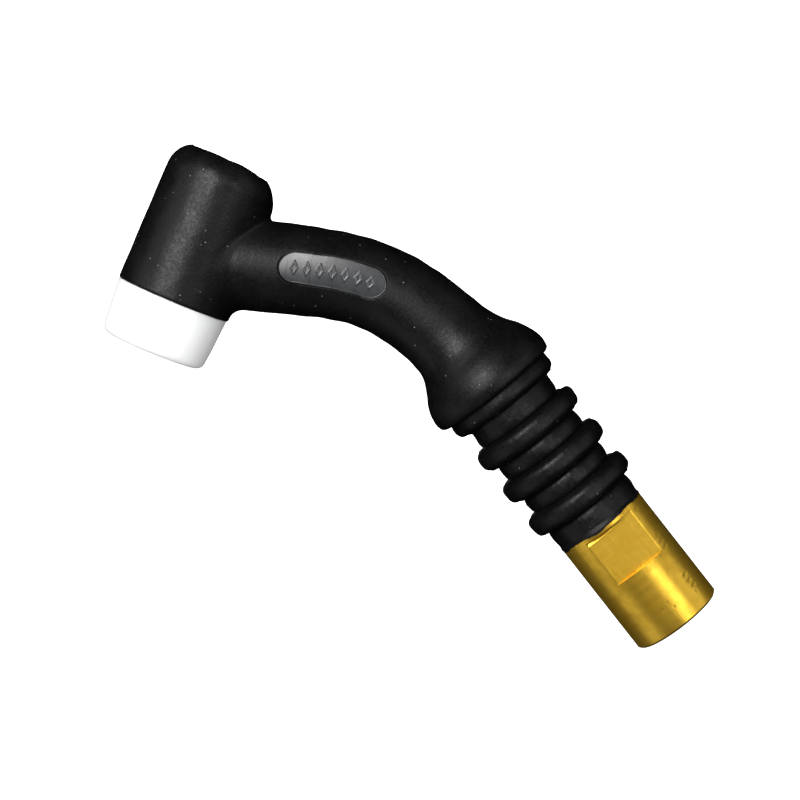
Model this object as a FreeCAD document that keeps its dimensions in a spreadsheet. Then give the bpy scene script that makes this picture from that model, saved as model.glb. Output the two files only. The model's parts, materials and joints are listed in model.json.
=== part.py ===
"""Head body of a flexible-neck TIG welding torch, lying on its side.

Row frame, millimetres: the origin is the centre of the brass nipple's rear face, +X runs out of
the nipple towards the cable, and the torch's plane of symmetry is z = 0. Every piece is drawn in
a local frame whose +X points forward along the torch, from the cable end towards the head.

The neck bends by hand and stays bent. It is one rubber moulding over one soft copper tube, and is
divided here into short links with alternating hinges: in the torch's plane, then sideways.
"""

import math
import os

import FreeCAD, Part
import Sketcher
from FreeCAD import Placement, Rotation, Vector

SIZES = {
    # rear end
    "nipple_radius": 11.0,
    "nipple_length": 29.1,
    "nipple_chamfer": 0.5,
    "across_flats": 18.0,
    "flat_near": 16.3,
    "flat_far": 27.9,
    "flat_roll": 3.4,
    "spigot_radius": 8.5,
    "spigot_end": 59.1,
    "groove_depth": 1.0,
    "groove_width": 3.0,
    "cable_bore_radius": 7.19,
    "cable_bore_depth": 16.0,
    "drill_point": 4.0,
    # ribbed sleeve
    "sleeve_radius": 10.9,
    "ridge_radius": 13.4,
    "ridge_first": 36.95,
    "ridge_pitch": 9.45,
    "ridge_root": 5.8,
    "ridge_crown": 3.6,
    "collar_radius": 13.4,
    "collar_start": 63.2,
    "collar_chamfer": 1.0,
    "collar_end": 69.0,
    # skirt and neck
    "skirt_rear": 67.4,
    "skirt_radius": 15.65,
    "skirt_lip": 14.2,
    "skirt_lip_length": 0.9,
    "skirt_shoulder": 71.0,
    "skirt_end": 80.6,
    "skirt_round": 5.0,
    "neck_radius": 10.15,
    "bend_start": 66.0,
    "root_bend_radius": 111.0,
    "root_bend_angle": 12.0,
    "neck_bend_radius": 49.0,
    "neck_bend_angle": 31.4,
    "straight_link": 5.4,
    "neck_to_head_axis": 30.4,
    # hinge gaps
    "hinge_gap": 0.4,
    "relief_angle": 4.6,
    "relief_reach": 16.0,
    # gas tube
    "tube_radius": 4.0,
    "gas_radius": 2.5,
    "socket_depth": 8.0,
    "bead_radius": 5.8,
    "bead_height": 2.0,
    "bead_bevel": 0.6,
    "bead_toe": 0.3,
    "fit_gap": 0.03,
    # head
    "head_angle": 104.5,
    "head_top_radius": 13.2,
    "head_seam_radius": 13.55,
    "head_top": 23.0,
    "head_seam": 11.25,
    "head_top_round": 3.6,
    "head_seam_round": 0.6,
    "stub_radius": 10.6,
    "core_radius": 8.0,
    "core_top": 16.0,
    "core_nose": 14.25,
    "boss_radius": 6.0,
    "boss_length": 12.0,
    "boss_socket": 5.0,
    "cap_bore_radius": 5.86,
    "cap_bore_depth": 11.0,
    "cap_seat_radius": 9.0,
    "chamber_radius": 5.2,
    "collet_bore_radius": 4.33,
    "collet_bore_depth": 10.0,
    # front insulator
    "insulator_length": 12.7,
    "insulator_rear_radius": 13.2,
    "insulator_front_radius": 12.15,
    "insulator_round": 1.8,
    "insulator_bore_radius": 6.5,
    "nozzle_seat_radius": 9.7,
    "nozzle_seat_depth": 1.5,
    # how far a cutting shape runs past the material
    "cut_margin": 2.0,
}
ARC_LINKS = 5
STRAIGHT_LINKS = 2
RIDGES = 3
SPIGOT_GROOVES = (37.0, 46.0, 55.0)
SAME_PLACE = 0.01
LEAST_CUT = 0.001

doc = FreeCAD.newDocument("torch_head")
sheet = doc.addObject("Spreadsheet::Sheet", "sizes")
for row, (alias, number) in enumerate(SIZES.items(), start=1):
    sheet.set(f"A{row}", alias)
    sheet.set(f"B{row}", str(number))
    sheet.setAlias(f"B{row}", alias)
doc.recompute()


def value(expression):
    """Number that an expression on the sheet's aliases gives."""
    return float(sheet.evalExpression(str(expression)))


# ---------------------------------------------------------------- drawing helpers


def make_body(label, placement=Placement()):
    body = doc.addObject("PartDesign::Body", label)
    body.Label = label
    body.Placement = placement
    return body


def make_sketch(body, role, name, ahead="0", turned="0"):
    """Sketch on an origin plane, moved ahead along its normal and turned about the local Z axis."""
    plane = next(item for item in body.Origin.OriginFeatures if item.Role == role)
    sketch = body.newObject("Sketcher::SketchObject", f"{body.Name}_{name}")
    sketch.AttachmentSupport = [(plane, "")]
    sketch.MapMode = "FlatFace"
    turn = Rotation(Vector(0, 1, 0), value(turned))
    sketch.AttachmentOffset = Placement(turn.multVec(Vector(0, 0, value(ahead))), turn)
    if turned == "0" and ahead != "0":
        sketch.setExpression("AttachmentOffset.Base.z", ahead)
    return sketch


def bind(sketch, constraint, expression):
    index = sketch.addConstraint(constraint)
    sketch.setExpression(f"Constraints[{index}]", expression)


def draw_circle(sketch, radius):
    circle = Part.Circle(Vector(), Vector(0, 0, 1), value(radius))
    index = sketch.addGeometry(circle, False)
    sketch.addConstraint(Sketcher.Constraint("Coincident", index, 3, -1, 1))
    bind(sketch, Sketcher.Constraint("Radius", index, value(radius)), radius)


def draw_outline(sketch, corners):
    """Closed outline of straight lines. A corner is a pair of expressions, each bound to a size."""
    points = [Vector(value(x), value(y), 0) for x, y in corners]
    count = len(points)
    first = sketch.GeometryCount
    for i in range(count):
        sketch.addGeometry(Part.LineSegment(points[i], points[(i + 1) % count]), False)
    for i in range(count):
        after = first + (i + 1) % count
        sketch.addConstraint(Sketcher.Constraint("Coincident", first + i, 2, after, 1))
    for i, (x, y) in enumerate(corners):
        for kind, place, text in (("DistanceX", points[i].x, x), ("DistanceY", points[i].y, y)):
            constraint = Sketcher.Constraint(kind, -1, 1, first + i, 1, place)
            if str(text) == "0":
                sketch.addConstraint(constraint)
            else:
                bind(sketch, constraint, str(text))


def volume_after(body, feature):
    doc.recompute()
    if "Invalid" in feature.State or "Error" in feature.State:
        raise RuntimeError(f"{body.Label}: {feature.Label} failed")
    return body.Shape.Volume


def check_cut(body, feature, before):
    if volume_after(body, feature) >= before - LEAST_CUT:
        raise RuntimeError(f"{body.Label}: {feature.Label} removes nothing")


def revolve_outline(body, name, corners, cut=False):
    """Turns an outline drawn in the local XY plane about the local X axis."""
    before = body.Shape.Volume if cut else 0
    sketch = make_sketch(body, "XY_Plane", name + "_outline")
    draw_outline(sketch, corners)
    kind = "PartDesign::Groove" if cut else "PartDesign::Revolution"
    feature = body.newObject(kind, f"{body.Name}_{name}")
    feature.Profile = sketch
    feature.ReferenceAxis = (sketch, ["H_Axis"])
    feature.Angle = 360
    sketch.Visibility = False
    if cut:
        check_cut(body, feature, before)
    else:
        volume_after(body, feature)
    return feature


def add_rod(body, name, radius, length, ahead="0", turned="0", bore=None, backwards=False):
    """Straight round rod or tube, along the sketch's normal."""
    sketch = make_sketch(body, "YZ_Plane", name + "_section", ahead, turned)
    draw_circle(sketch, radius)
    if bore:
        draw_circle(sketch, bore)
    feature = body.newObject("PartDesign::Pad", f"{body.Name}_{name}")
    feature.Profile = sketch
    feature.Length = value(length)
    feature.setExpression("Length", length)
    feature.Reversed = backwards
    volume_after(body, feature)
    return feature


def cut_rod(body, name, radius, length, ahead="0", turned="0"):
    """Straight round hole, forwards along the sketch's normal."""
    before = body.Shape.Volume
    sketch = make_sketch(body, "YZ_Plane", name + "_section", ahead, turned)
    draw_circle(sketch, radius)
    feature = body.newObject("PartDesign::Pocket", f"{body.Name}_{name}")
    feature.Profile = sketch
    feature.Length = value(length)
    feature.setExpression("Length", length)
    feature.Reversed = True
    check_cut(body, feature, before)
    return feature


def bend_rod(body, name, radius, bend_radius, angle, ahead="0", bore=None, cut=False):
    """Round rod, tube or hole along an arc that curves towards local +Y."""
    before = body.Shape.Volume if cut else 0
    sketch = make_sketch(body, "YZ_Plane", name + "_section", ahead)
    draw_circle(sketch, radius)
    if bore:
        draw_circle(sketch, bore)
    reach = value(bend_radius)
    axis = sketch.addGeometry(Part.LineSegment(Vector(reach, 0, 0), Vector(reach, reach, 0)), True)
    sketch.addConstraint(Sketcher.Constraint("Vertical", axis))
    bind(sketch, Sketcher.Constraint("DistanceX", -1, 1, axis, 1, reach), bend_radius)
    kind = "PartDesign::Groove" if cut else "PartDesign::Revolution"
    feature = body.newObject(kind, f"{body.Name}_{name}")
    feature.Profile = sketch
    feature.ReferenceAxis = (sketch, ["Axis0"])
    feature.Angle = value(angle)
    feature.setExpression("Angle", angle)
    if cut:
        check_cut(body, feature, before)
    else:
        volume_after(body, feature)
    return feature


def round_edges(body, name, radius, places):
    """Fillet on the round edges, about the local X axis, at (distance along X, radius)."""
    base = body.Tip
    shape = base.Shape
    found = []
    for index, edge in enumerate(shape.Edges, start=1):
        if not hasattr(edge.Curve, "Radius"):
            continue
        for along, around in places:
            on_place = abs(edge.Curve.Center.x - value(along)) < SAME_PLACE
            if on_place and abs(edge.Curve.Radius - value(around)) < SAME_PLACE:
                found.append(f"Edge{index}")
    feature = body.newObject("PartDesign::Fillet", f"{body.Name}_{name}")
    feature.Base = (base, found)
    feature.Radius = value(radius)
    feature.setExpression("Radius", radius)
    volume_after(body, feature)
    return feature


def relieve(body, name, role, place=Vector(), heading=0.0, turned="0"):
    """Cuts an end to a blunt ridge along its hinge, so the next link can tip to either side.

    The ridge is drawn in the plane square to the hinge. Heading, in degrees, is where the link
    lies as seen from the hinge.
    """
    before = body.Shape.Volume
    inward = Vector(math.cos(math.radians(heading)), math.sin(math.radians(heading)), 0)
    across = Vector(-inward.y, inward.x, 0)
    half_gap = value("sizes.hinge_gap / 2")
    reach = value("sizes.relief_reach")
    slope = math.tan(math.radians(value("sizes.relief_angle")))
    tip = place + inward * half_gap
    sides = [across * (sign * reach) + inward * (half_gap + reach * slope) for sign in (1, -1)]
    margin = value("sizes.cut_margin")
    backs = [across * (sign * reach) - inward * margin for sign in (-1, 1)]
    corners = [tip, place + sides[0], place + backs[1], place + backs[0], place + sides[1]]
    sketch = make_sketch(body, role, name + "_outline", turned=turned)
    for i, corner in enumerate(corners):
        after = corners[(i + 1) % len(corners)]
        sketch.addGeometry(Part.LineSegment(corner, after), False)
        sketch.addConstraint(Sketcher.Constraint("Block", i))
    for i in range(len(corners)):
        after = (i + 1) % len(corners)
        sketch.addConstraint(Sketcher.Constraint("Coincident", i, 2, after, 1))
    feature = body.newObject("PartDesign::Pocket", f"{body.Name}_{name}")
    feature.Profile = sketch
    feature.Type = "ThroughAll"
    feature.Midplane = True
    check_cut(body, feature, before)


# ---------------------------------------------------------------- the neck's path

CABLE_END = Placement(Vector(), Rotation(Vector(0, 0, 1), 180))


def heading_frame(point, heading, flipped=False):
    """Frame on the path: +X forwards and +Y to the inside of the bend, or, flipped, +X back."""
    turn = math.radians(heading)
    forward = Vector(-math.cos(turn), -math.sin(turn), 0)
    inside = Vector(math.sin(turn), -math.cos(turn), 0)
    along = forward * -1 if flipped else forward
    return Placement(point, Rotation(along, inside, along.cross(inside), "XYZ"))


def arc_step(point, heading, radius, angle):
    """End point of an arc that starts at point, along heading, and turns by angle."""
    start = math.radians(heading)
    stop = math.radians(heading + angle)
    ahead = radius * (math.sin(stop) - math.sin(start))
    aside = radius * (math.cos(start) - math.cos(stop))
    return point + Vector(-ahead, -aside, 0)


def neck_hinges():
    """Places and headings of the hinges, from the skirt to the head, and the head's centre."""
    heading = value("sizes.root_bend_angle")
    bend_start = Vector(-value("sizes.bend_start"), 0, 0)
    point = arc_step(bend_start, 0, value("sizes.root_bend_radius"), heading)
    hinges = [(point, heading)]
    step = value("sizes.neck_bend_angle") / ARC_LINKS
    for _ in range(ARC_LINKS):
        point = arc_step(point, heading, value("sizes.neck_bend_radius"), step)
        heading += step
        hinges.append((point, heading))
    forward = heading_frame(Vector(), heading).multVec(Vector(1, 0, 0))
    centre = point + forward * value("sizes.neck_to_head_axis")
    for _ in range(STRAIGHT_LINKS):
        point = point + forward * value("sizes.straight_link")
        hinges.append((point, heading))
    return hinges, centre


HINGES, HEAD_CENTRE = neck_hinges()
LAST_HINGE, NECK_HEADING = HINGES[-1]
HEAD_HEADING = NECK_HEADING - value("sizes.head_angle")
HEAD_FRAME = Placement(HEAD_CENTRE, Rotation(Vector(0, 0, 1), HEAD_HEADING))
STUB_LENGTH = f"{(LAST_HINGE - HEAD_CENTRE).Length:.6f}"


# ---------------------------------------------------------------- cable end


def make_nipple():
    roll = Placement(Vector(), Rotation(Vector(1, 0, 0), value("sizes.flat_roll")))
    body = make_body("brass_nipple", CABLE_END.multiply(roll))
    chamfer = "sizes.nipple_radius - sizes.nipple_chamfer"
    throat = "sizes.cable_bore_depth + sizes.drill_point"
    socket = "sizes.spigot_end - sizes.socket_depth"
    revolve_outline(body, "turned", [
        ("0", "sizes.cable_bore_radius"),
        ("0", chamfer),
        ("sizes.nipple_chamfer", "sizes.nipple_radius"),
        ("sizes.nipple_length", "sizes.nipple_radius"),
        ("sizes.nipple_length", "sizes.spigot_radius"),
        ("sizes.spigot_end", "sizes.spigot_radius"),
        ("sizes.spigot_end", "sizes.tube_radius + sizes.fit_gap"),
        (socket, "sizes.tube_radius + sizes.fit_gap"),
        (socket, "sizes.gas_radius"),
        (throat, "sizes.gas_radius"),
        ("sizes.cable_bore_depth", "sizes.cable_bore_radius"),
    ])
    floor = "sizes.spigot_radius - sizes.groove_depth"
    for i, middle in enumerate(SPIGOT_GROOVES, start=1):
        near = f"{middle} - sizes.groove_width / 2"
        far = f"{middle} + sizes.groove_width / 2"
        top = "sizes.spigot_radius + sizes.cut_margin"
        corners = [(near, floor), (near, top), (far, top), (far, floor)]
        revolve_outline(body, f"grip_groove_{i}", corners, cut=True)
    before = body.Shape.Volume
    sketch = make_sketch(body, "XZ_Plane", "flats_outline")
    beyond = "sizes.nipple_radius + sizes.cut_margin"
    for sign in ("", "-"):
        near = f"{sign}sizes.across_flats / 2"
        far = f"{sign}({beyond})"
        draw_outline(sketch, [
            ("sizes.flat_near", near),
            ("sizes.flat_far", near),
            ("sizes.flat_far", far),
            ("sizes.flat_near", far),
        ])
    flats = body.newObject("PartDesign::Pocket", "wrench_flats")
    flats.Profile = sketch
    flats.Type = "ThroughAll"
    flats.Midplane = True
    check_cut(body, flats, before)
    return body


def make_sleeve():
    body = make_body("ribbed_sleeve", CABLE_END)
    bore = "sizes.spigot_radius + sizes.fit_gap"
    tube = "sizes.tube_radius + sizes.fit_gap"
    bead_end = "sizes.spigot_end + sizes.bead_height + sizes.fit_gap"
    collar = "sizes.collar_radius - sizes.collar_chamfer"
    corners = [
        ("sizes.nipple_length", bore),
        ("sizes.nipple_length", "sizes.sleeve_radius"),
    ]
    for i in range(RIDGES):
        middle = f"sizes.ridge_first + {i} * sizes.ridge_pitch"
        corners += [
            (f"{middle} - sizes.ridge_root / 2", "sizes.sleeve_radius"),
            (f"{middle} - sizes.ridge_crown / 2", "sizes.ridge_radius"),
            (f"{middle} + sizes.ridge_crown / 2", "sizes.ridge_radius"),
            (f"{middle} + sizes.ridge_root / 2", "sizes.sleeve_radius"),
        ]
    corners += [
        ("sizes.collar_start", "sizes.sleeve_radius"),
        ("sizes.collar_start", collar),
        ("sizes.collar_start + sizes.collar_chamfer", "sizes.collar_radius"),
        ("sizes.collar_end", "sizes.collar_radius"),
        ("sizes.collar_end", "sizes.bead_radius + sizes.fit_gap"),
        (bead_end, "sizes.bead_radius + sizes.fit_gap"),
        (bead_end, bore),
    ]
    revolve_outline(body, "moulded", corners)
    return body


def make_skirt():
    body = make_body("flared_skirt", CABLE_END)
    root = ("sizes.root_bend_radius", "sizes.root_bend_angle", "sizes.bend_start")
    bend_rod(body, "neck_root", "sizes.neck_radius", *root)
    before_bend = "sizes.bend_start - sizes.cut_margin"
    revolve_outline(body, "trim", [
        (before_bend, "0"),
        (before_bend, "sizes.skirt_radius"),
        ("sizes.collar_end", "sizes.skirt_radius"),
        ("sizes.collar_end", "0"),
    ], cut=True)
    revolve_outline(body, "flare", [
        ("sizes.skirt_rear", "sizes.collar_radius + sizes.fit_gap"),
        ("sizes.skirt_rear", "sizes.skirt_lip"),
        ("sizes.skirt_rear + sizes.skirt_lip_length", "sizes.skirt_radius"),
        ("sizes.skirt_shoulder", "sizes.skirt_radius"),
        ("sizes.skirt_end", "sizes.neck_radius"),
        ("sizes.skirt_end", "0"),
        ("sizes.collar_end + sizes.fit_gap", "0"),
        ("sizes.collar_end + sizes.fit_gap", "sizes.collar_radius + sizes.fit_gap"),
    ])
    shoulder = [("sizes.skirt_shoulder", "sizes.skirt_radius")]
    round_edges(body, "shoulder_round", "sizes.skirt_round", shoulder)
    bend_rod(body, "tube_way", "sizes.tube_radius + sizes.fit_gap", *root, cut=True)
    place = CABLE_END.inverse().multVec(HINGES[0][0])
    relieve(body, "hinge_end", "XY_Plane", place, 180 + value("sizes.root_bend_angle"))
    return body


def make_rear_tube():
    body = make_body("gas_tube_rear", CABLE_END)
    radii = ("sizes.tube_radius", "sizes.gas_radius")
    length = "sizes.bend_start - sizes.spigot_end + sizes.socket_depth - sizes.fit_gap"
    add_rod(body, "straight", radii[0], length, "sizes.bend_start", bore=radii[1], backwards=True)
    bend_rod(body, "bent", radii[0], "sizes.root_bend_radius", "sizes.root_bend_angle",
             "sizes.bend_start", bore=radii[1])
    place = CABLE_END.inverse().multVec(HINGES[0][0])
    relieve(body, "hinge_end", "XY_Plane", place, 180 + value("sizes.root_bend_angle"))
    return body


def make_bead(label, placement, start):
    """Ring of hard solder around the tube, against the face at start."""
    body = make_body(label, placement)
    inner = "sizes.tube_radius + sizes.fit_gap"
    revolve_outline(body, "fillet", [
        (start, inner),
        (start, "sizes.bead_radius"),
        (f"{start} + sizes.bead_height / 3", "sizes.bead_radius - sizes.bead_bevel"),
        (f"{start} + sizes.bead_height", inner + " + sizes.bead_toe"),
        (f"{start} + sizes.bead_height", inner),
    ])
    return body


# ---------------------------------------------------------------- neck links


def make_link(label, number, radius, bore):
    """One length of the neck, between hinge number and the next. Its frame is at the hinge whose
    axis lies in the torch's plane, so both kinds of link are drawn alike."""
    sideways_first = number % 2 == 1
    near, far = HINGES[number:number + 2]
    if not sideways_first:
        near, far = far, near
    body = make_body(label, heading_frame(*near, flipped=not sideways_first))
    if number < ARC_LINKS:
        angle = f"sizes.neck_bend_angle / {ARC_LINKS}"
        bend_rod(body, "length", radius, "sizes.neck_bend_radius", angle, bore=bore)
    else:
        add_rod(body, "length", radius, "sizes.straight_link", bore=bore)
    inverse = body.Placement.inverse()
    relieve(body, "sideways_end", "XZ_Plane")
    relieve(body, "level_end", "XY_Plane", inverse.multVec(far[0]), 180 + abs(far[1] - near[1]))
    return body


# ---------------------------------------------------------------- head


def make_head_cover():
    body = make_body("head_cover", HEAD_FRAME)
    revolve_outline(body, "barrel", [
        ("-sizes.head_top", "0"),
        ("-sizes.head_top", "sizes.head_top_radius"),
        ("sizes.head_seam", "sizes.head_seam_radius"),
        ("sizes.head_seam", "0"),
    ])
    top = [("-sizes.head_top", "sizes.head_top_radius")]
    round_edges(body, "top_round", "sizes.head_top_round", top)
    seam = [("sizes.head_seam", "sizes.head_seam_radius")]
    round_edges(body, "seam_round", "sizes.head_seam_round", seam)
    add_rod(body, "neck_stub", "sizes.stub_radius", STUB_LENGTH, turned="sizes.head_angle")
    core = "sizes.core_radius + sizes.fit_gap"
    revolve_outline(body, "core_room", [
        ("-sizes.head_top - sizes.cut_margin", "0"),
        ("-sizes.head_top - sizes.cut_margin", "sizes.cap_seat_radius"),
        ("-sizes.core_top", "sizes.cap_seat_radius"),
        ("-sizes.core_top", core),
        ("sizes.head_seam + sizes.cut_margin", core),
        ("sizes.head_seam + sizes.cut_margin", "0"),
    ], cut=True)
    boss_end = "sizes.boss_length + sizes.bead_height + sizes.fit_gap"
    boss = "sizes.boss_radius + sizes.fit_gap"
    cut_rod(body, "boss_room", boss, boss_end, turned="sizes.head_angle")
    way = "sizes.tube_radius + sizes.fit_gap"
    cut_rod(body, "tube_way", way, STUB_LENGTH + " + sizes.cut_margin", turned="sizes.head_angle")
    place = Vector(float(STUB_LENGTH), 0, 0)
    relieve(body, "hinge_end", "XZ_Plane", place, 180, turned="sizes.head_angle")
    return body


def make_head_core():
    body = make_body("head_core", HEAD_FRAME)
    revolve_outline(body, "turned", [
        ("-sizes.core_top", "0"),
        ("-sizes.core_top", "sizes.core_radius"),
        ("sizes.core_nose", "sizes.core_radius"),
        ("sizes.core_nose", "0"),
    ])
    add_rod(body, "boss", "sizes.boss_radius", "sizes.boss_length", turned="sizes.head_angle")
    cap_floor = "sizes.cap_bore_depth - sizes.core_top"
    collet_floor = "sizes.core_nose - sizes.collet_bore_depth"
    revolve_outline(body, "bores", [
        ("-sizes.core_top - sizes.cut_margin", "0"),
        ("-sizes.core_top - sizes.cut_margin", "sizes.cap_bore_radius"),
        (cap_floor, "sizes.cap_bore_radius"),
        (cap_floor, "sizes.chamber_radius"),
        (collet_floor, "sizes.chamber_radius"),
        (collet_floor, "sizes.collet_bore_radius"),
        ("sizes.core_nose + sizes.cut_margin", "sizes.collet_bore_radius"),
        ("sizes.core_nose + sizes.cut_margin", "0"),
    ], cut=True)
    port = "sizes.boss_length + sizes.cut_margin"
    cut_rod(body, "gas_port", "sizes.gas_radius", port, turned="sizes.head_angle")
    before = body.Shape.Volume
    boss_end, angle = "sizes.boss_length", "sizes.head_angle"
    section = make_sketch(body, "YZ_Plane", "socket_section", boss_end, angle)
    draw_circle(section, "sizes.tube_radius + sizes.fit_gap")
    socket = body.newObject("PartDesign::Pocket", "tube_socket")
    socket.Profile = section
    socket.Length = value("sizes.boss_socket")
    socket.setExpression("Length", "sizes.boss_socket")
    check_cut(body, socket, before)
    return body


def make_front_tube():
    body = make_body("gas_tube_front", heading_frame(LAST_HINGE, NECK_HEADING))
    length = f"{STUB_LENGTH} - sizes.boss_length + sizes.boss_socket - sizes.fit_gap"
    add_rod(body, "straight", "sizes.tube_radius", length, bore="sizes.gas_radius")
    relieve(body, "hinge_end", "XZ_Plane")
    return body


def make_insulator():
    body = make_body("front_insulator", HEAD_FRAME)
    front = "sizes.head_seam + sizes.insulator_length"
    recess = f"{front} - sizes.nozzle_seat_depth"
    socket = "sizes.core_nose + sizes.fit_gap"
    core = "sizes.core_radius + sizes.fit_gap"
    rear = "sizes.head_seam + sizes.fit_gap"
    revolve_outline(body, "turned", [
        (rear, core),
        (rear, "sizes.insulator_rear_radius"),
        (front, "sizes.insulator_front_radius"),
        (front, "sizes.nozzle_seat_radius"),
        (recess, "sizes.nozzle_seat_radius"),
        (recess, "sizes.insulator_bore_radius"),
        (socket, "sizes.insulator_bore_radius"),
        (socket, core),
    ])
    rim = [(front, "sizes.insulator_front_radius")]
    round_edges(body, "rim_round", "sizes.insulator_round", rim)
    return body


# ---------------------------------------------------------------- assembly

parts = [
    make_nipple(),
    make_sleeve(),
    make_skirt(),
    make_rear_tube(),
    make_bead("rear_braze_ring", CABLE_END, "sizes.spigot_end"),
]
for number in range(ARC_LINKS + STRAIGHT_LINKS):
    way, tube, gas = "sizes.tube_radius + sizes.fit_gap", "sizes.tube_radius", "sizes.gas_radius"
    parts.append(make_link(f"neck_cover_{number + 1}", number, "sizes.neck_radius", way))
    parts.append(make_link(f"gas_tube_{number + 1}", number, tube, gas))
boss_turn = Rotation(Vector(0, 0, 1), value("sizes.head_angle"))
boss_frame = HEAD_FRAME.multiply(Placement(Vector(), boss_turn))
parts += [
    make_head_cover(),
    make_head_core(),
    make_front_tube(),
    make_bead("front_braze_ring", boss_frame, "sizes.boss_length"),
    make_insulator(),
]
doc.recompute()

for item in doc.Objects:
    if "Invalid" in item.State or "Error" in item.State:
        raise RuntimeError(f"{item.Label} did not recompute: {item.State}")

os.makedirs("parts", exist_ok=True)
for part in parts:
    shape = part.Shape
    if shape.isNull() or not shape.isValid() or len(shape.Solids) != 1:
        raise RuntimeError(f"{part.Label}: bad shape")
    shape.exportStep(os.path.join("parts", part.Label + ".step"))
    box = shape.BoundBox
    print(f"{part.Label:18s} {shape.Volume:9.1f} mm3  x {box.XMin:8.2f} {box.XMax:8.2f}"
          f"  y {box.YMin:7.2f} {box.YMax:7.2f}  z {box.ZMin:7.2f} {box.ZMax:7.2f}")
for number, (point, heading) in enumerate(HINGES):
    print(f"hinge {number}: {point.x:.4f} {point.y:.4f}, heading {heading:.2f}")
print(f"head centre {HEAD_CENTRE.x:.4f} {HEAD_CENTRE.y:.4f}, heading {HEAD_HEADING:.2f}")
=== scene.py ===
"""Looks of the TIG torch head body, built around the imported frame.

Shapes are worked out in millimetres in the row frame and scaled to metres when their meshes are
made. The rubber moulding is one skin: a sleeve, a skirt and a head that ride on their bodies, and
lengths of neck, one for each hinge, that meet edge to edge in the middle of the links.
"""

import json
import math

import bmesh
import bpy
import numpy as np
from mathutils import Matrix, Vector


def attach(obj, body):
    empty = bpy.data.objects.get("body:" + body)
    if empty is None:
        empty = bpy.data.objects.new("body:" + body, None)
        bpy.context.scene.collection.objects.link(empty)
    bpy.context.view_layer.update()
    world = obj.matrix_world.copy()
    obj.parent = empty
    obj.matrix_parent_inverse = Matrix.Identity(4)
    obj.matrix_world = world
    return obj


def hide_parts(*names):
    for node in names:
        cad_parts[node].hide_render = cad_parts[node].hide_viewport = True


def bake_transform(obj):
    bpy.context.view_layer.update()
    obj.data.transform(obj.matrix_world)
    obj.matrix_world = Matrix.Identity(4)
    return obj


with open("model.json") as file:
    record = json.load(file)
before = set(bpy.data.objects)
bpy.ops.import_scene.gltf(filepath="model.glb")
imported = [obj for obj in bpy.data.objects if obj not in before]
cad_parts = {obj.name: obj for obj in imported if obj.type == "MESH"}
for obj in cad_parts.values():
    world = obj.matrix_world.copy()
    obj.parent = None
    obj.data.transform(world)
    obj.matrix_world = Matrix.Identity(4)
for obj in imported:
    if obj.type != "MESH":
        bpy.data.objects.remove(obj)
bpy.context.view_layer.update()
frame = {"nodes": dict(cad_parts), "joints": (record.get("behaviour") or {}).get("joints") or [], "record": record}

MM = 0.001
TURN = 2 * math.pi

# ---------------------------------------------------------------- driving dimensions, mm

NIPPLE_R = 11.0
NIPPLE_END = 29.1
NIPPLE_CHAMFER = 0.5
SPIGOT_R = 8.5
SPIGOT_END = 59.1
TUBE_WAY_R, TUBE_WAY_DEPTH = 4.03, 8.0
FLAT_HALF = 9.0
FLAT_NEAR, FLAT_FAR = 16.3, 27.9
FLAT_ROLL = math.radians(3.4)
CABLE_BORE_R, CABLE_BORE_DEPTH = 7.19, 16.0
DRILL_POINT = 4.0
GAS_R = 2.5

SLEEVE_R = 10.78
RIDGE_R = 13.25
RIDGES = (36.95, 46.45, 55.85)
RIDGE_HALF = 2.55
COLLAR_R = 13.38
COLLAR_START, COLLAR_END = 63.2, 69.0

SKIRT_REAR = 67.4
BEND_START = 66.0
BENDS = ((111.0, math.radians(12.0)), (49.0, math.radians(31.4)))
TO_HEAD_AXIS = 30.4
NECK_BORE = 5.0

HEAD_R = 13.1
HEAD_SEAM_R = 13.42
HEAD_NECK_SIDE = 0.1
HEAD_TOP, HEAD_SEAM = -23.3, 11.25
CORE_R = 8.0
CORE_TOP, CORE_NOSE = -16.0, 14.25
CAP_SEAT_R = 9.0
CAP_BORE_R, CAP_BORE_DEPTH = 5.86, 11.0
COLLET_BORE_R, COLLET_BORE_DEPTH = 4.33, 10.0
CHAMBER_R = 5.2
INSULATOR_FRONT = 23.95
INSULATOR_RADII = (13.2, 12.15)
INSULATOR_HOLE_R = 6.5
NOZZLE_SEAT_R, NOZZLE_SEAT_DEPTH = 9.7, 1.5

# Pitch and depth of each internal thread.
CABLE_THREAD = (1.5, 0.8)
COLLET_THREAD = (0.794, 0.42)
CAP_THREAD = (0.907, 0.48)

# ---------------------------------------------------------------- the neck's path

# Length and curvature of each stretch of the neck's centre line, from the nipple's face.
STRETCHES = ((BEND_START, 0.0), *((radius * angle, 1 / radius) for radius, angle in BENDS),
             (math.inf, 0.0))


def advance(length, curvature, heading):
    """Move along a line or an arc of the torch's plane, and the heading after it."""
    turned = heading + length * curvature
    if curvature:
        x = (np.sin(heading) - np.sin(turned)) / curvature
        y = (np.cos(turned) - np.cos(heading)) / curvature
    else:
        x, y = -length * np.cos(heading), -length * np.sin(heading)
    return np.stack([x, y], -1), turned


def neck_path(along):
    """Points of the neck's centre line at distances from the nipple's face, with the directions
    forwards and to the outside of the bend."""
    along = np.asarray(along, float)
    point = np.zeros(along.shape + (3,))
    heading = np.zeros(along.shape)
    start, corner, turned = 0.0, np.zeros(2), 0.0
    for length, curvature in STRETCHES:
        reached = along >= start
        move, heading[reached] = advance(along[reached] - start, curvature, turned)
        point[reached, :2] = corner + move
        if math.isfinite(length):
            move, turned = advance(length, curvature, turned)
            corner = corner + move
            start += length
    zero = np.zeros_like(heading)
    forward = np.stack([-np.cos(heading), -np.sin(heading), zero], -1)
    outside = np.stack([-np.sin(heading), np.cos(heading), zero], -1)
    return point, forward, outside


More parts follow.
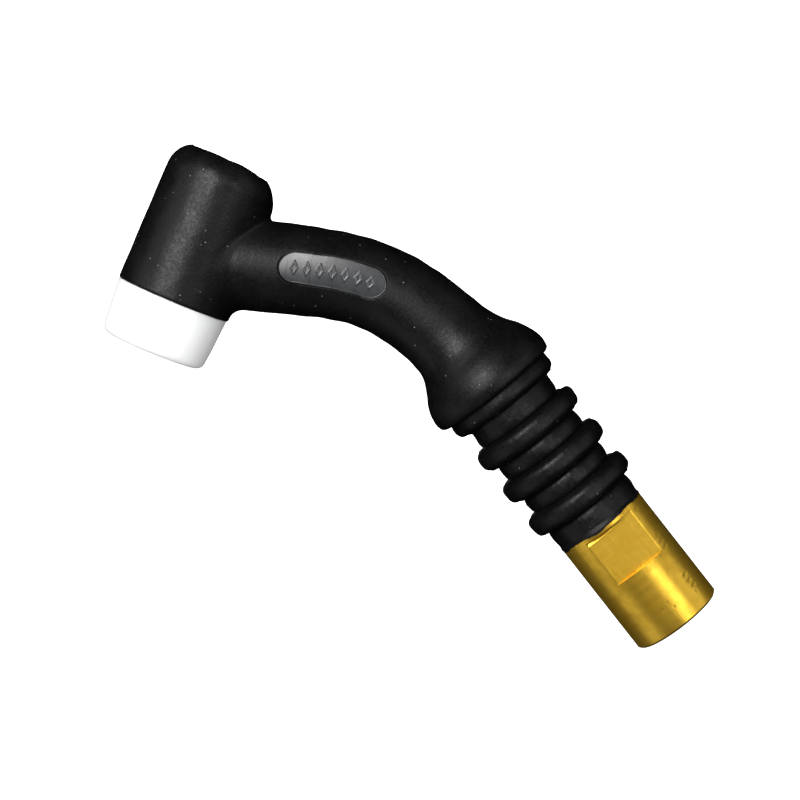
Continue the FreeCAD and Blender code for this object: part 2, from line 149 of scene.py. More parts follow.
BEND_END = BEND_START + sum(radius * angle for radius, angle in BENDS)
HEAD_AT = BEND_END + TO_HEAD_AXIS
FINE_STEP = 0.02
HINGE_POINTS = np.array([joint["pos_m"] for joint in frame["joints"]]) / MM


def distance_of(point):
    """Distance along the neck of a point on its centre line."""
    fine = np.arange(SKIRT_REAR, HEAD_AT, FINE_STEP)
    centres = neck_path(fine)[0]
    return float(fine[np.argmin(np.linalg.norm(centres - point, axis=1))])


HINGES_AT = [distance_of(point) for point in HINGE_POINTS]
HEAD_CENTRE, NECK_FORWARD, NECK_OUTSIDE = (part[0] for part in neck_path([HEAD_AT]))
NECK_BACK = -NECK_FORWARD
MOUNTS = {mount["name"]: mount for mount in frame["record"]["mounts"]}
HEAD_FRONT = np.array(MOUNTS["collet_thread"]["axis"], float)
HEAD_SIDE = np.array([-HEAD_FRONT[1], HEAD_FRONT[0], 0.0])
UP = np.array([0.0, 0.0, 1.0])

# ---------------------------------------------------------------- small maths


def smooth_step(low, high, x):
    """From 0 at low to 1 at high, level at both. low may be the larger of the two."""
    t = np.clip((np.asarray(x, float) - low) / (high - low), 0, 1)
    return t * t * (3 - 2 * t)


def curve_through(points, x):
    """Smooth curve through (x, value) points that doesn't overshoot them."""
    xs, ys = np.array(points, float).T
    slope = np.diff(ys) / np.diff(xs)
    middle = np.where(slope[:-1] * slope[1:] > 0,
                      2 * slope[:-1] * slope[1:] / (slope[:-1] + slope[1:] + 1e-12), 0)
    tangent = np.concatenate([[slope[0]], middle, [slope[-1]]])
    x = np.clip(x, xs[0], xs[-1])
    i = np.clip(np.searchsorted(xs, x, side="right") - 1, 0, len(xs) - 2)
    width = xs[i + 1] - xs[i]
    t = (x - xs[i]) / width
    return ((2 * t**3 - 3 * t**2 + 1) * ys[i] + (t**3 - 2 * t**2 + t) * width * tangent[i]
            + (3 * t**2 - 2 * t**3) * ys[i + 1] + (t**3 - t**2) * width * tangent[i + 1])


WAVES = 7


def wobble(points, scale, seed):
    """Slow uneven value between about -1 and 1 at each point, from a few crossed waves."""
    rng = np.random.default_rng(seed)
    total = np.zeros(points.shape[:-1])
    for _ in range(WAVES):
        direction = rng.normal(size=3)
        direction /= np.linalg.norm(direction) * scale * rng.uniform(0.7, 1.4)
        total += np.sin(points @ direction * TURN + rng.uniform(0, TURN))
    return total / (WAVES / 2)


def smooth_max(a, b, width):
    """The larger of a and b, rounded off where they cross."""
    blend = np.clip(0.5 + 0.5 * (a - b) / width, 0, 1)
    return b + (a - b) * blend + width * blend * (1 - blend)


# ---------------------------------------------------------------- mesh helpers

RUBBER_SHARP = math.radians(60)
BRASS_SHARP = math.radians(40)
PTFE_SHARP = math.radians(50)


def add_object(name, points, faces, sharp):
    """Object from points in mm. Edges that turn by more than sharp are shaded sharp."""
    mesh = bpy.data.meshes.new(name)
    mesh.from_pydata((np.asarray(points) * MM).tolist(), [], np.asarray(faces).tolist())
    mesh.validate()
    mesh.shade_smooth()
    mesh.set_sharp_from_angle(angle=sharp)
    made = bpy.data.objects.new(name, mesh)
    bpy.context.scene.collection.objects.link(made)
    return made


def ring_faces(rows, columns):
    """Quads of a grid whose rows and columns both close on themselves."""
    row, column = np.meshgrid(np.arange(rows), np.arange(columns), indexing="ij")
    row_after, column_after = (row + 1) % rows, (column + 1) % columns
    corners = [row * columns + column, row * columns + column_after,
               row_after * columns + column_after, row_after * columns + column]
    return np.stack(corners, -1).reshape(-1, 4)


def subdivided(corners, step):
    """A closed outline with points added so that none of its sides is longer than step."""
    corners = np.asarray(corners, float)
    pieces = []
    for here, after in zip(corners, np.roll(corners, -1, axis=0)):
        count = max(1, math.ceil(np.linalg.norm(after - here) / step))
        share = np.arange(count)[:, None] / count
        pieces.append(here + (after - here) * share)
    return np.concatenate(pieces)


def rounded(corners, radii, segments):
    """A closed outline with its corners rounded. A radius of 0 keeps a corner."""
    corners = np.asarray(corners, float)
    made = []
    for i, (corner, radius) in enumerate(zip(corners, radii)):
        if not radius:
            made.append(corner)
            continue
        before = corners[i - 1] - corner
        after = corners[(i + 1) % len(corners)] - corner
        before /= np.linalg.norm(before)
        after /= np.linalg.norm(after)
        half = math.acos(np.clip(before @ after, -1, 1)) / 2
        reach = radius / math.tan(half)
        middle = (before + after) / np.linalg.norm(before + after)
        centre = corner + middle * radius / math.sin(half)
        first, last = corner + before * reach - centre, corner + after * reach - centre
        sweep = math.pi - 2 * half
        for share in np.linspace(0, 1, segments + 1):
            weights = (math.sin((1 - share) * sweep), math.sin(share * sweep))
            made.append(centre + (first * weights[0] + last * weights[1]) / math.sin(sweep))
    return np.array(made)


def turned_grid(outline, angles):
    """Grids of the distance, radius and angle of the points of an outline turned to angles."""
    along, angle = np.meshgrid(outline[:, 0], angles, indexing="ij")
    radius = np.repeat(outline[:, 1:2], len(angles), axis=1)
    return along, radius, angle


def add_ring(name, points, sharp):
    """Object from a grid of points whose rows and columns both close on themselves."""
    return add_object(name, points.reshape(-1, 3), ring_faces(*points.shape[:2]), sharp)


def lathe(name, outline, angles, place, sharp):
    """Turns a closed (along, radius) outline. place(along, radius, angle) gives the points."""
    return add_ring(name, place(*turned_grid(outline, angles)), sharp)


def around(count):
    """Evenly spaced angles over a full turn."""
    return np.arange(count) / count * TURN


def on_cable_axis(along, radius, angle):
    """Points about the nipple's axis. Angle 0 faces up and a quarter turn faces +Y."""
    return np.stack([-along, radius * np.sin(angle), radius * np.cos(angle)], -1)


def on_neck(along, radius, angle, drift=0.0):
    """Points about the neck's centre line. drift moves them towards the outside of the bend."""
    point, _, outside = neck_path(along)
    return (point + outside * (radius * np.sin(angle) + drift)[..., None]
            + UP * (radius * np.cos(angle))[..., None])


def on_head_axis(along, radius, angle):
    """Points about the head's axis. Angle 0 faces up and along grows towards the insulator."""
    return (HEAD_CENTRE + HEAD_FRONT * along[..., None]
            - HEAD_SIDE * (radius * np.sin(angle))[..., None]
            + UP * (radius * np.cos(angle))[..., None])


# ---------------------------------------------------------------- the moulding's parting line

FLASH_HEIGHT = 0.16
FLASH_HALF = 0.22
FLASH_LEAST = 0.03


def from_parting_line(radius, angle):
    """Distance round the surface to the nearer of the two parting lines."""
    return np.minimum(abs(angle - TURN / 4), abs(angle - 3 * TURN / 4)) * radius


def flash(points, radius, angle):
    """Height of the mould's parting line, a thin uneven ridge at each side of the torch."""
    height = FLASH_HEIGHT * (0.75 + 0.5 * wobble(points, 5.0, 11))
    across = from_parting_line(radius, angle) / FLASH_HALF
    return np.clip(height, FLASH_LEAST, None) * np.exp(-across**2)


# ---------------------------------------------------------------- rubber: neck and skirt

# Radius of the skin, and its shift to the outside of the bend, at distances along the neck.
NECK_PROFILE = ((SKIRT_REAR, 14.6), (67.6, 14.98), (68.2, 15.32), (69.9, 15.58), (72.2, 15.27),
                (75.0, 14.12), (77.7, 12.4), (80.4, 11.04), (83.2, 10.36), (87.0, 10.03),
                (100.0, 9.97), (115.0, 10.05), (121.0, 10.3), (129.0, 10.42), (135.0, 10.6))
NECK_DRIFT = ((SKIRT_REAR, -0.25), (77.0, -0.35), (82.0, 0.05), (106.0, 0.15), (114.0, -0.05),
              (121.0, -0.1), (128.0, -0.4), (135.0, -0.5))
NECK_WAVES = 0.05

# The badge is a sunk panel with round ends on the neck's upper side, BADGE_RISE towards the
# outside of the bend. Its floor is slightly domed across and along.
BADGE_AT = 113.8
BADGE_RISE = 0.45
BADGE_HALF = 12.3
BADGE_R = 3.65
BADGE_DEPTH = 0.22
BADGE_WALL = 0.28
BADGE_BULGE = 0.35
BADGE_CROWN = 0.0030
BADGE_REACH = 1.0
FAR_AWAY = 9.0

# A row of plain lozenges, each with a dished middle, in low relief on the badge's floor.
MARKS = 7
MARK_PITCH = 2.9
MARK_HALF = (0.95, 2.0)
MARK_HEIGHT = 0.17
MARK_WALL = 0.13

# Half widths, in degrees, of the close columns over the badge and at each parting line.
BADGE_DEGREES = 27
LINE_DEGREES = 4


def badge_distance(ahead, across):
    """Distance outside the badge's rounded outline, negative within it."""
    beyond = np.maximum(abs(ahead) - (BADGE_HALF - BADGE_R), 0)
    return np.hypot(beyond, across) - BADGE_R


def mark_height(ahead, across):
    """Height of a row of plain upright lozenges on the badge's floor."""
    offset = ahead / MARK_PITCH
    nearest = np.clip(np.round(offset), -(MARKS // 2), MARKS // 2)
    aside = abs(ahead - nearest * MARK_PITCH) / MARK_HALF[0]
    inside = (1 - aside - abs(across) / MARK_HALF[1]) * MARK_HALF[0]
    rim = smooth_step(0, MARK_WALL, inside)
    dish = smooth_step(MARK_WALL * 2, MARK_WALL * 4, inside)
    return MARK_HEIGHT * (rim - 0.75 * dish)


def neck_surface(along, angle):
    """Radius of the moulded neck, with its parting line and badge."""
    radius = curve_through(NECK_PROFILE, along)
    points = on_neck(along, radius, angle)
    radius = radius + NECK_WAVES * wobble(points, 14.0, 3) + flash(points, radius, angle)
    wrapped = (angle + math.pi) % TURN - math.pi
    across = radius * np.sin(wrapped) - BADGE_RISE
    ahead = along - BADGE_AT
    inside = np.where(abs(wrapped) < BADGE_REACH, -badge_distance(ahead, across), -FAR_AWAY)
    share = smooth_step(-BADGE_WALL / 2, BADGE_WALL / 2, inside)
    edge_height = math.sqrt(radius.min() ** 2 - BADGE_R**2)
    level = edge_height - BADGE_DEPTH + BADGE_BULGE * (1 - (across / BADGE_R) ** 2)
    level = level - BADGE_CROWN * ahead**2 + mark_height(ahead, across)
    floor = level / np.maximum(np.cos(wrapped), 0.5)
    return radius + (floor - radius) * share


def neck_angles():
    """Angles of the skin's columns: close together over the badge and at the parting line."""
    badge = np.radians(np.arange(-BADGE_DEGREES, BADGE_DEGREES + 0.01, 0.55))
    line = np.radians([-3.2, -2.2, -1.5, -1.0, -0.5, 0, 0.5, 1.0, 1.5, 2.2, 3.2])
    sides = np.concatenate([line + TURN / 4, line + 3 * TURN / 4])
    coarse = around(144)
    aside = abs((coarse + math.pi) % TURN - math.pi)
    off_badge = aside > math.radians(BADGE_DEGREES + 0.5)
    far = off_badge & (abs(aside - TURN / 4) > math.radians(LINE_DEGREES))
    return np.unique(np.concatenate([badge % TURN, sides, coarse[far]]).round(6))


def neck_length(name, start, end, step, inner):
    """One closed length of the skin. inner is its (along, radius) inner outline, end to start."""
    count = max(2, round((end - start) / step))
    outer = [(s, 1.0) for s in np.linspace(start, end, count + 1)]
    along, radius, angle = turned_grid(np.array(outer + list(inner)), neck_angles())
    skin = len(outer)
    radius[:skin] = neck_surface(along[:skin], angle[:skin])
    drift = np.zeros_like(radius)
    drift[:skin] = curve_through(NECK_DRIFT, along[:skin])
    return add_ring(name, on_neck(along, radius, angle, drift), RUBBER_SHARP)


# The lengths of neck meet halfway between hinges, and the first and last end END_REACH beyond
# theirs.
END_REACH = 2.6
SEAMS = [HINGES_AT[0] - END_REACH]
SEAMS += [(a + b) / 2 for a, b in zip(HINGES_AT, HINGES_AT[1:])]
SEAMS += [HINGES_AT[-1] + END_REACH]
SKIRT_STEP, NECK_STEP = 0.22, 0.13


def make_skirt():
    inner = [(SEAMS[0], NECK_BORE), (COLLAR_END + 0.05, NECK_BORE),
             (COLLAR_END + 0.05, COLLAR_R + 0.03), (SKIRT_REAR + 1.6, COLLAR_R + 0.03),
             (SKIRT_REAR + 1.3, COLLAR_R + 0.5), (SKIRT_REAR, COLLAR_R + 0.5)]
    skirt = neck_length("skirt_moulding", SKIRT_REAR, SEAMS[0], SKIRT_STEP, inner)
    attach(skirt, "cable_end")
    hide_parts("flared_skirt")
    return skirt


def make_neck():
    """Lengths of neck, one for each hinge, in order from the skirt."""
    made = []
    for i, at in enumerate(HINGES_AT):
        start, end = SEAMS[i], SEAMS[i + 1]
        inner = [(end, NECK_BORE), (at, NECK_BORE), (start, NECK_BORE)]
        piece = neck_length(f"neck_moulding_{i + 1}", start, end, NECK_STEP, inner)
        _, forward, _ = neck_path([at])
        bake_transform(piece)
        # The first length lies over the end of flared_skirt, which skirt_moulding replaces.
        if i:
            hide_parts(f"neck_cover_{i}")
        made.append(piece)
    return made


# ---------------------------------------------------------------- rubber: ribbed sleeve

SLEEVE_STEP = 0.16
SLEEVE_BORE_R = 6.0

# Height, length and seed of the sleeve's slow waves.
SLEEVE_WAVES = ((0.05, 7.0, 5), (0.025, 1.5, 6))

# The sleeve is a little thinner beyond its first ridge. A crease runs along each ridge's foot.
GROOVE_DROP = 0.1
RIDGE_TILT = 0.004
RIDGE_FLATNESS, RIDGE_ROUND = 3.2, 1.9
CREASE_DEPTH = 0.7
CREASE_REACH = 0.6
COLLAR_PROFILE = ((0.0, SLEEVE_R), (0.4, 12.3), (1.2, 13.15), (2.2, COLLAR_R), (3.6, 13.3),
                  (5.0, 12.9), (5.8, 12.9))

# The lip that runs over the brass, its height there and how steeply it may fall off.
LIP = 0.7
LIP_RISE = 0.12
LIP_SLOPE = 0.5

# Flash at the parting line: the sleeve's outline, grown by a ball and sunk a little. It stands
# at most PROUD_LIMIT beyond the ridges.
EDGE_BALL = 0.5
EDGE_SINK = 0.2
EDGE_SHIFTS = (-0.45, -0.3, -0.15, 0.15, 0.3, 0.45)
EDGE_HALF = 0.3
EDGE_HEIGHT = 0.12
PROUD_LIMIT = 0.7


def sleeve_radius(along, tilt):
    """Outer radius of the sleeve. tilt moves the ridges a little, as their mould was cut."""
    radius = np.where(along < RIDGES[0], SLEEVE_R, SLEEVE_R - GROOVE_DROP)
    for middle in RIDGES:
        aside = np.clip(abs(along - middle - tilt) / RIDGE_HALF, 0, 1)
        ridge = (RIDGE_R - SLEEVE_R) * (1 - aside**RIDGE_FLATNESS) ** (1 / RIDGE_ROUND)
        radius = np.where(aside < 1, np.maximum(radius, SLEEVE_R + ridge), radius)
        from_wall = abs(along - middle - tilt) - RIDGE_HALF
        crease = np.exp(-np.maximum(from_wall, 0) / CREASE_REACH) * (from_wall > -0.02)
        radius = radius - CREASE_DEPTH * crease
    start = COLLAR_START + 2 * tilt
    collar = curve_through(COLLAR_PROFILE, along - start)
    return np.where(along > start, np.maximum(radius, collar), radius)


def sleeve_skin(along, angle):
    """Outer radius of the sleeve with its parting line, its waves and its lip on the brass."""
    tilt = RIDGE_TILT * RIDGE_R * np.sin(angle)
    base = sleeve_radius(along, tilt)
    grown = base.copy()
    for shift in EDGE_SHIFTS:
        moved = sleeve_radius(np.clip(along + shift, NIPPLE_END, COLLAR_END), tilt)
        grown = np.maximum(grown, moved + math.sqrt(EDGE_BALL**2 - shift**2) - EDGE_SINK)
    points = on_cable_axis(along, base, angle)
    uneven = np.clip(0.8 + 0.35 * wobble(points, 3.0, 21), 0.2, 1.2)
    share = np.exp(-(from_parting_line(base, angle) / EDGE_HALF) ** 2) * uneven
    radius = base + (grown - base + EDGE_HEIGHT) * share
    for height, scale, seed in SLEEVE_WAVES:
        radius = radius + height * wobble(points, scale, seed)
    radius = np.minimum(radius, RIDGE_R + PROUD_LIMIT)
    beyond_brass = np.maximum(along - NIPPLE_END, 0)
    return np.maximum(radius, NIPPLE_R + LIP_RISE - LIP_SLOPE * beyond_brass)


def lip_reach(angle):
    """Share of the lip's length that is there, uneven around the brass."""
    edge = on_cable_axis(np.zeros_like(angle), np.full_like(angle, NIPPLE_R), angle)
    ragged = 0.4 + 0.45 * wobble(edge, 7.0, 8) + 0.12 * wobble(edge, 1.7, 9)
    return np.clip(ragged, 0.05, 1.0)


def make_sleeve():
    outer = np.arange(NIPPLE_END - LIP, COLLAR_END + 0.01, SLEEVE_STEP)
    spigot_r, nipple_r = SPIGOT_R + 0.05, NIPPLE_R + 0.02
    seat, end = NIPPLE_END + 0.03, SPIGOT_END + 2.1
    outline = [(s, 1.0) for s in outer]
    outline += [(COLLAR_END, SLEEVE_BORE_R), (end, SLEEVE_BORE_R), (end, spigot_r),
                (seat, spigot_r), (seat, nipple_r), (outer[0], nipple_r)]
    along, radius, angle = turned_grid(np.array(outline), neck_angles())
    skin = len(outer)
    radius[:skin] = sleeve_skin(along[:skin], angle[:skin])
    over = np.minimum(along - NIPPLE_END, 0)
    points = on_cable_axis(along - over + over * lip_reach(angle), radius, angle)
    sleeve = add_ring("sleeve_moulding", points, RUBBER_SHARP)
    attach(sleeve, "cable_end")
    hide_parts("ribbed_sleeve")
    return sleeve


# ---------------------------------------------------------------- rubber: head

# Cell size and corners of the grid that the head's surface is found in.
HEAD_GRID = 0.34
HEAD_LOW, HEAD_HIGH = (-158.5, -55.5, -15.5), (-112.5, -6.5, 15.5)

# The top's corner is rounder towards the neck, and the top is a little wavier than the rest.
TOP_ROUND = 6.0
TOP_ROUND_EXTRA = 3.0
TOP_ZONE = 8.0
SEAM_ROUND = 0.45
HEAD_WAVES, TOP_WAVES = 0.03, 0.1

# The fillet between neck and head grows towards the insulator, over this stretch of the head.
NECK_FILLET = 1.1
NECK_FILLET_EXTRA = 1.6
FILLET_GROWS = (-4, 9)

HEAD_FLASH = FLASH_HEIGHT * 0.6
HEAD_FLASH_HALF = 0.3
TUBE_ROOM_R, TUBE_ROOM_DEPTH = 6.05, 14.1
ROOM_GAP = 0.05
ROOM_ROUND = 0.5
HEAD_CUT = HEAD_AT - SEAMS[-1]
CUT_SPARE = 0.8


def barrel_distance(along, radial, toward_neck):
    """Signed distance from the head's round body, which is rounder at its top."""
    middle, half = (HEAD_TOP + HEAD_SEAM) / 2, (HEAD_SEAM - HEAD_TOP) / 2
    top_corner = TOP_ROUND + TOP_ROUND_EXTRA * np.clip(toward_neck, 0, 1) ** 2
    corner = np.where(along < middle, top_corner, SEAM_ROUND)
    widening = (HEAD_SEAM_R - HEAD_R) * (along - HEAD_TOP) / (HEAD_SEAM - HEAD_TOP)
    out = radial - HEAD_R - widening - HEAD_NECK_SIDE * toward_neck + corner
    beyond = abs(along - middle) - half + corner
    return (np.minimum(np.maximum(out, beyond), 0) - corner
            + np.hypot(np.maximum(out, 0), np.maximum(beyond, 0)))


def stub_distance(back, across):
    """Signed distance from the neck's end, which stops in the middle of the head."""
    drift = curve_through(NECK_DRIFT, HEAD_AT - back)
    stub = np.linalg.norm(across - drift[..., None] * NECK_OUTSIDE, axis=-1)
    stub = stub - curve_through(NECK_PROFILE, HEAD_AT - back)
    return np.where(back < 0, np.hypot(np.minimum(back, 0), np.maximum(stub, 0)), stub)


def head_room(along, radial, back, from_axis):
    """Signed distance from the hollows for the core, the back cap and the tube."""
    core = np.maximum(radial - CORE_R - ROOM_GAP, CORE_TOP - 2 * ROOM_GAP - along)
    cap = np.maximum(radial - CAP_SEAT_R, along - CORE_TOP)
    tube = np.maximum(from_axis - np.where(back < TUBE_ROOM_DEPTH, TUBE_ROOM_R, NECK_BORE), -back)
    return np.minimum(np.minimum(core, cap), tube)


def head_distance(points):
    """Signed distance from the head's rubber, negative inside it."""
    from_centre = points - HEAD_CENTRE
    along = from_centre @ HEAD_FRONT
    back = from_centre @ NECK_BACK
    side = from_centre @ HEAD_SIDE
    high = from_centre[..., 2]
    radial = np.hypot(side, high)
    across = from_centre - back[..., None] * NECK_BACK
    top = smooth_step(HEAD_TOP + TOP_ZONE, HEAD_TOP, along)
    barrel = barrel_distance(along, radial, side / np.maximum(radial, 1e-6))
    barrel = barrel + (HEAD_WAVES + TOP_WAVES * top) * wobble(points, 5.5, 31)
    stub = stub_distance(back, across)
    fillet = NECK_FILLET + NECK_FILLET_EXTRA * smooth_step(*FILLET_GROWS, along)
    solid = -smooth_max(-barrel, -stub, fillet)
    solid = solid - HEAD_FLASH * np.exp(-(high / HEAD_FLASH_HALF) ** 2)
    room = head_room(along, radial, back, np.linalg.norm(across, axis=-1))
    solid = smooth_max(solid, -room, ROOM_ROUND)
    return np.maximum(solid, back - HEAD_CUT - CUT_SPARE)


def cell_points(value, grid, step):
    """A point in each grid cell that the surface crosses, and the number of each cell's point."""
    inside = value < 0
    shape = tuple(size - 1 for size in value.shape)
    total = np.zeros(shape + (3,))
    count = np.zeros(shape)

    def part(array, corner):
        i, j, k = corner
        return array[i:i + shape[0], j:j + shape[1], k:k + shape[2]]

    for low in np.ndindex(2, 2, 2):
        for axis in range(3):
            if low[axis]:
                continue
            high = low[:axis] + (1,) + low[axis + 1:]
            value_low, value_high = part(value, low), part(value, high)
            crosses = part(inside, low) != part(inside, high)
            fall = np.where(crosses, value_low - value_high, 1)
            place = part(grid, low).copy()
            place[..., axis] += np.where(crosses, value_low / fall, 0) * step
            total += np.where(crosses[..., None], place, 0)
            count += crosses
    used = count > 0
    number = np.full(shape, -1)
    number[used] = np.arange(np.count_nonzero(used))
    return total[used] / count[used][:, None], number


SETTLE_STEPS = 4
SETTLE_LIMIT = 0.3
SLOPE_SPAN = 0.05
LEAST_SLOPE = 0.2


def settled(points, distance, step):
    """Points moved along the slope of distance, onto the surface."""
    for _ in range(SETTLE_STEPS):
        slope = np.stack([
            (distance(points + offset) - distance(points - offset)) / (2 * SLOPE_SPAN)
            for offset in np.eye(3) * SLOPE_SPAN], -1)
        steepness = np.maximum(np.sum(slope**2, -1), LEAST_SLOPE)
        move = distance(points)[:, None] * slope / steepness[:, None]
        points = points - np.clip(move, -SETTLE_LIMIT * step, SETTLE_LIMIT * step)
    return points


def surface_quads(inside, number):
    """A quad of cell points about each grid edge that the surface crosses, facing out."""
    quads = []
    for axis in range(3):
        one, two = (axis + 1) % 3, (axis + 2) % 3
        size = [count - 1 for count in inside.shape]
        spans = [slice(1, size[i]) for i in range(3)]
        spans[axis] = slice(0, size[axis])
        ahead = list(spans)
        ahead[axis] = slice(1, size[axis] + 1)
        first, last = inside[tuple(spans)], inside[tuple(ahead)]

        def cell(back_one, back_two):
            where = list(spans)
            for i, back in ((one, back_one), (two, back_two)):
                where[i] = slice(1 - back, size[i] - back)
            return number[tuple(where)]

        quad = np.stack([cell(1, 1), cell(0, 1), cell(0, 0), cell(1, 0)], -1)
        quads.append(quad[first & ~last])
        quads.append(quad[~first & last][:, ::-1])
    return np.concatenate(quads)


def surface_net(distance, low, high, step):
    """Points and quads of the surface where distance changes sign."""
    axes = [np.arange(a, b + step, step) for a, b in zip(low, high)]
    grid = np.stack(np.meshgrid(*axes, indexing="ij"), -1)
    value = distance(grid)
    points, number = cell_points(value, grid, step)
    return settled(points, distance, step), surface_quads(value < 0, number)


def cut_flat(mesh, at, facing):
    """Cuts off a mesh beyond a plane and closes the cut."""
    work = bmesh.new()
    work.from_mesh(mesh)
    geometry = work.verts[:] + work.edges[:] + work.faces[:]
    bmesh.ops.bisect_plane(work, geom=geometry, plane_co=at, plane_no=facing, clear_outer=True,
                           dist=1e-7)
    rim = [edge for edge in work.edges if edge.is_boundary]
    bmesh.ops.triangle_fill(work, edges=rim, use_beauty=True, normal=facing)
    work.to_mesh(mesh)
    work.free()


def make_head():
    points, quads = surface_net(head_distance, HEAD_LOW, HEAD_HIGH, HEAD_GRID)
    head = add_object("head_moulding", points, quads, RUBBER_SHARP)
    cut_at = (HEAD_CENTRE + NECK_BACK * HEAD_CUT) * MM
    cut_flat(head.data, Vector(cut_at), Vector(NECK_BACK))
    head.data.shade_smooth()
    head.data.set_sharp_from_angle(angle=RUBBER_SHARP)
    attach(head, "head")
    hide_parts("head_cover")
    return head


# ---------------------------------------------------------------- brass nipple and head core


def thread_cut(along, angle, start, end, thread, fade):
    """Depth of an internal thread's groove beyond its minor radius."""
    pitch, depth = thread
    phase = (along / pitch - angle / TURN) % 1.0
    groove = np.clip(1.25 - 2.5 * abs(phase - 0.5) * 1.15, 0, 1)
    ends = smooth_step(start, start + fade, along) * smooth_step(end, end - fade, along)
    return depth * groove * ends


def on_wall(radius, wall):
    """Whether points lie on the wall of a bore, and not beside it."""
    return abs(radius - wall) < 0.01


def rows(start, end, step):
    """Distances from start up to end, without end, at most step apart."""
    count = max(1, math.ceil(abs(end - start) / step))
    return np.linspace(start, end, count, endpoint=False)


# The flat: close rows (mm) at its ends and columns (degrees) at its edges, how far the edges are
# rounded, and the groove that the cutter left at its far end.
FLAT_ENDS = (-0.16, -0.1, -0.04, 0.02, 0.08)
FLAT_EDGES = (-2.0, -1.0, -0.4, 0.1, 0.6)
FLAT_ROUND = 0.12
CUTTER_DIG = 0.3
CUTTER_BACK, CUTTER_HALF = 0.42, 0.2
CUTTER_SIDE = (0.45, -0.25)

# Stretches of the brass with scrapes, the pitch, place, size and depth of the scrapes, and the
# first and last angle and the step of the close columns there.
SCRAPES = ((26.0, 28.2), (15.3, 20.6), (5.2, 9.8))
SCRAPE_PITCH = 1.55
SCRAPE_AT = 0.74
SCRAPE_HALF = 0.075
SCRAPE_LENGTH = 0.22
SCRAPE_DEPTH = 0.13
SCRAPE_ANGLES = (0.62, 1.16, 0.012)


def tool_marks(along, angle):
    """Depth of a spanner's short scrapes in the brass, in three groups beside the flat."""
    turned = (angle - FLAT_ROLL - SCRAPE_AT) / SCRAPE_HALF
    cell = np.floor(along / SCRAPE_PITCH)
    within = along / SCRAPE_PITCH - cell - 0.5
    uneven = np.sin(cell * 12.9)
    across = turned + 0.6 * uneven - 1.2 * within
    shape = np.exp(-((within / SCRAPE_LENGTH) ** 2) - across**2) * (0.7 + 0.3 * uneven)
    inside = sum((along > first) & (along < last) for first, last in SCRAPES)
    return SCRAPE_DEPTH * shape * inside


def milled(along, radius, angle):
    """Radius of the nipple's outside, cut down to its two flats."""
    facing = angle - FLAT_ROLL
    across = np.maximum(abs(np.cos(facing)), 1e-3)
    near = smooth_step(FLAT_NEAR - 0.1, FLAT_NEAR + 0.02, along)
    far = smooth_step(FLAT_FAR + 0.1, FLAT_FAR - 0.02, along)
    flat = -smooth_max(-radius, -FLAT_HALF / across, FLAT_ROUND)
    dug = np.exp(-((along - FLAT_FAR + CUTTER_BACK) / CUTTER_HALF) ** 2) * (radius - flat > 0.05)
    flat = flat - CUTTER_DIG * dug * smooth_step(*CUTTER_SIDE, np.sin(facing))
    return radius + (flat - radius) * near * far


def on_nipple(along, radius, angle):
    """Points of the nipple, with its flats, its scrapes and its thread."""
    outer = radius > SPIGOT_R + 0.5
    radius = np.where(outer, milled(along, radius, angle), radius)
    scraped = outer & (along > 1.2) & (along < NIPPLE_END - 0.2)
    radius = radius - np.where(scraped, tool_marks(along, angle), 0)
    threaded = on_wall(radius, CABLE_BORE_R) & (along < CABLE_BORE_DEPTH - 0.05)
    cut = thread_cut(along, angle, 0.3, CABLE_BORE_DEPTH - 1, CABLE_THREAD, 1.0)
    return on_cable_axis(along, radius + np.where(threaded, cut, 0), angle)


def nipple_angles():
    """Angles of the nipple's columns: close together at the flats' edges and at the scrapes."""
    edge = math.acos(FLAT_HALF / NIPPLE_R)
    corners = [side + sign * (edge + nudge) + FLAT_ROLL
               for side in (0, math.pi) for sign in (-1, 1) for nudge in np.radians(FLAT_EDGES)]
    marked = FLAT_ROLL + np.arange(*SCRAPE_ANGLES)
    angles = np.concatenate([around(120), marked, np.array(corners) % TURN])
    return np.unique(angles.round(5))


def make_nipple():
    ends = [FLAT_NEAR + d for d in FLAT_ENDS] + [FLAT_FAR - d for d in FLAT_ENDS]
    body_rows = np.unique(np.concatenate([rows(1.15, NIPPLE_END - 0.15, 0.2), ends]).round(4))
    way_end = SPIGOT_END - TUBE_WAY_DEPTH
    outline = [(0.0, CABLE_BORE_R + 0.75), (0.0, NIPPLE_R - NIPPLE_CHAMFER - 0.1),
               (0.06, NIPPLE_R - NIPPLE_CHAMFER), (NIPPLE_CHAMFER - 0.05, NIPPLE_R - 0.1),
               (NIPPLE_CHAMFER + 0.05, NIPPLE_R)]
    outline += [(s, NIPPLE_R) for s in body_rows]
    outline += [(NIPPLE_END - 0.1, NIPPLE_R), (NIPPLE_END, NIPPLE_R - 0.1),
                (NIPPLE_END, SPIGOT_R), (SPIGOT_END, SPIGOT_R), (SPIGOT_END, TUBE_WAY_R),
                (way_end, TUBE_WAY_R), (way_end, GAS_R),
                (CABLE_BORE_DEPTH + DRILL_POINT, GAS_R), (CABLE_BORE_DEPTH, CABLE_BORE_R)]
    outline += [(s, CABLE_BORE_R) for s in rows(CABLE_BORE_DEPTH - 0.1, 0.75, 0.12)]
    outline += [(0.6, CABLE_BORE_R + 0.1)]
    nipple = lathe("nipple_brass", np.array(outline), nipple_angles(), on_nipple, BRASS_SHARP)
    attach(nipple, "cable_end")
    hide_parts("brass_nipple")
    return nipple


CAP_END, COLLET_START = CORE_TOP + CAP_BORE_DEPTH, CORE_NOSE - COLLET_BORE_DEPTH


